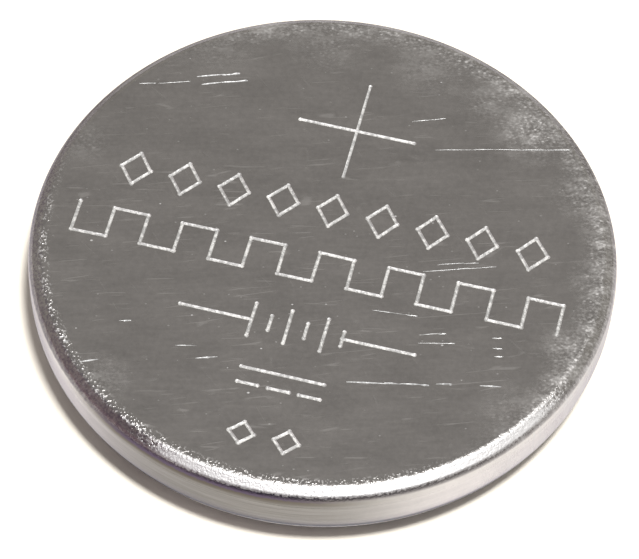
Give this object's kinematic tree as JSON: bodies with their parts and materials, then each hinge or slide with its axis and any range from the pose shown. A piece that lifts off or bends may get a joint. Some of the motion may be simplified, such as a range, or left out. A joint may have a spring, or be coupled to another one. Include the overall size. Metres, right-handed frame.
{
  "type": "lithium coin cell",
  "caption": "Flat round lithium cell: a drawn steel can crimped over a moulded gasket onto a stepped cap, with its electrodes inside.",
  "frame": {"origin": "middle of the negative contact face, on which the cell stands", "axes": "+Z along the cell's axis, from the negative contact face out of the positive face; +X along the rows of marks on the positive face, and +Y towards their upper edge"},
  "size_m": [0.02, 0.02, 0.0032],
  "materials": {
    "can_steel": "rolled bright steel, scratched and scuffed",
    "cap_steel": "rolled bright steel",
    "gasket_plastic": "natural translucent plastic",
    "lithium_metal": "soft dull silver",
    "separator_fleece": "white non-woven fleece",
    "cathode_mix": "pressed black powder",
    "grid_steel": "punched steel"
  },
  "bodies": {
    "root": {"positive_can": "can_steel", "negative_cap": "cap_steel", "sealing_gasket": "gasket_plastic", "lithium_anode": "lithium_metal", "separator": "separator_fleece", "cathode_pellet": "cathode_mix", "collector_grid": "grid_steel"}
  },
  "joints": []
}
